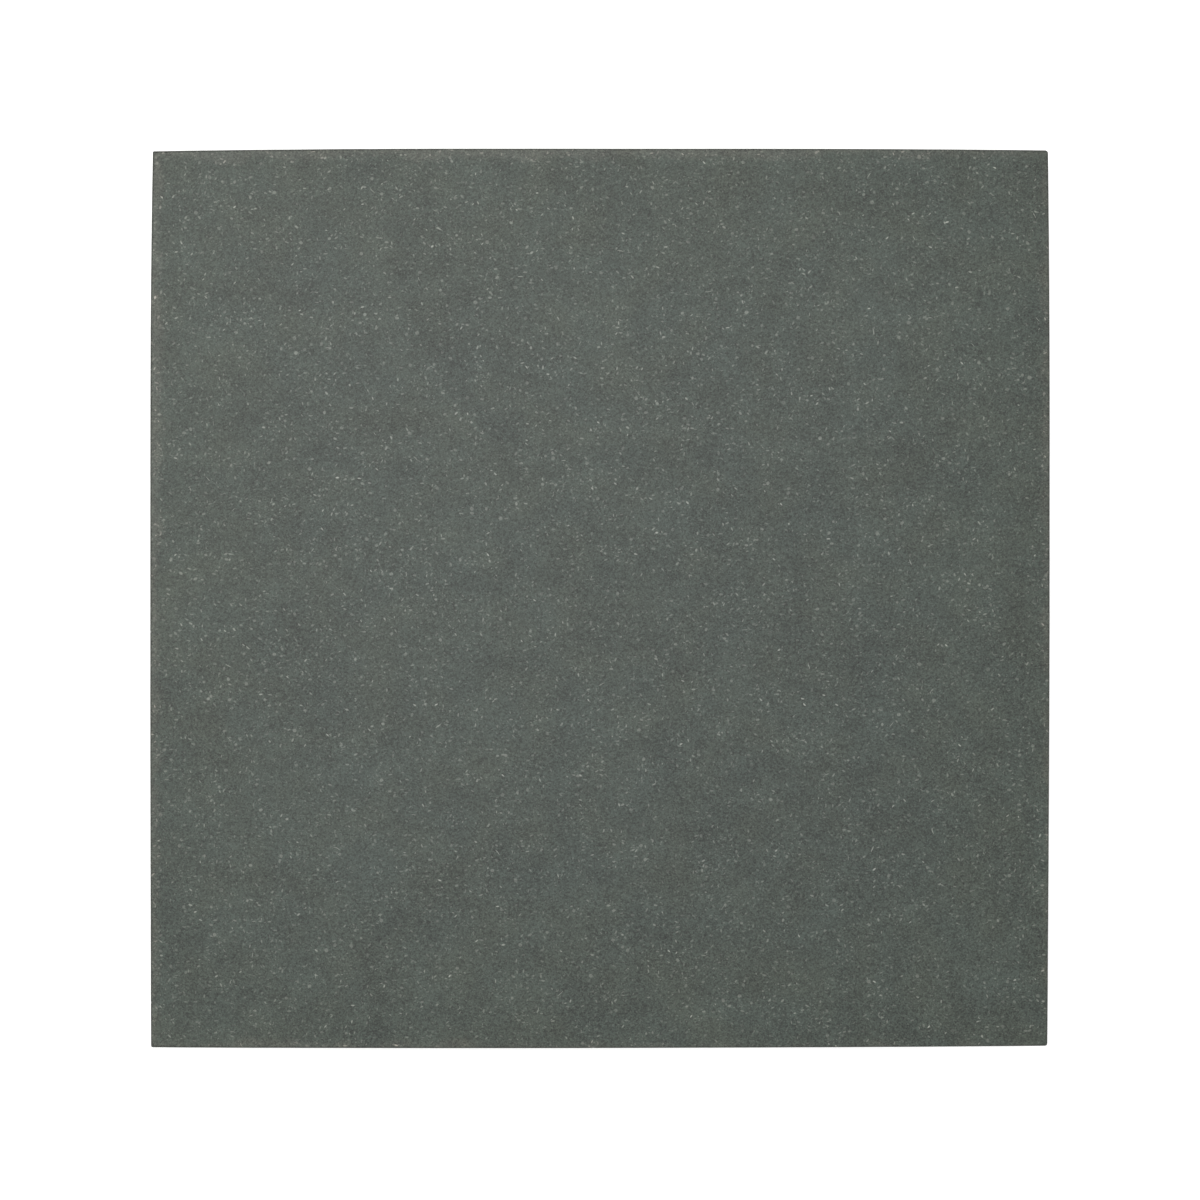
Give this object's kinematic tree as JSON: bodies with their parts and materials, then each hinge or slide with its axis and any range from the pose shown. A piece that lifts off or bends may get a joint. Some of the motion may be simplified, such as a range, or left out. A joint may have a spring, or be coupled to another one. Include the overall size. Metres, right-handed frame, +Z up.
{
  "type": "granite tooling slab",
  "caption": "Square slab of dark grey-green honed granite for stamping, tooling and setting leather, on stick-on rubber feet.",
  "frame": {"origin": "centre of the footprint, on the bench that the rubber feet stand on", "axes": "+Z up, out of the honed work face; X along the slab's length and Y along its width, with -Y the side nearest the worker"},
  "size_m": [0.3048, 0.3048, 0.0354],
  "materials": {
    "honed_granite": "honed",
    "black_rubber": "matte",
    "foam_tape": "matte"
  },
  "bodies": {
    "root": {"granite_slab": "honed_granite", "rubber_foot_front_left": "black_rubber", "rubber_foot_front_right": "black_rubber", "rubber_foot_back_left": "black_rubber", "rubber_foot_back_right": "black_rubber", "adhesive_disc_front_left": "foam_tape", "adhesive_disc_front_right": "foam_tape", "adhesive_disc_back_left": "foam_tape", "adhesive_disc_back_right": "foam_tape"}
  },
  "joints": []
}
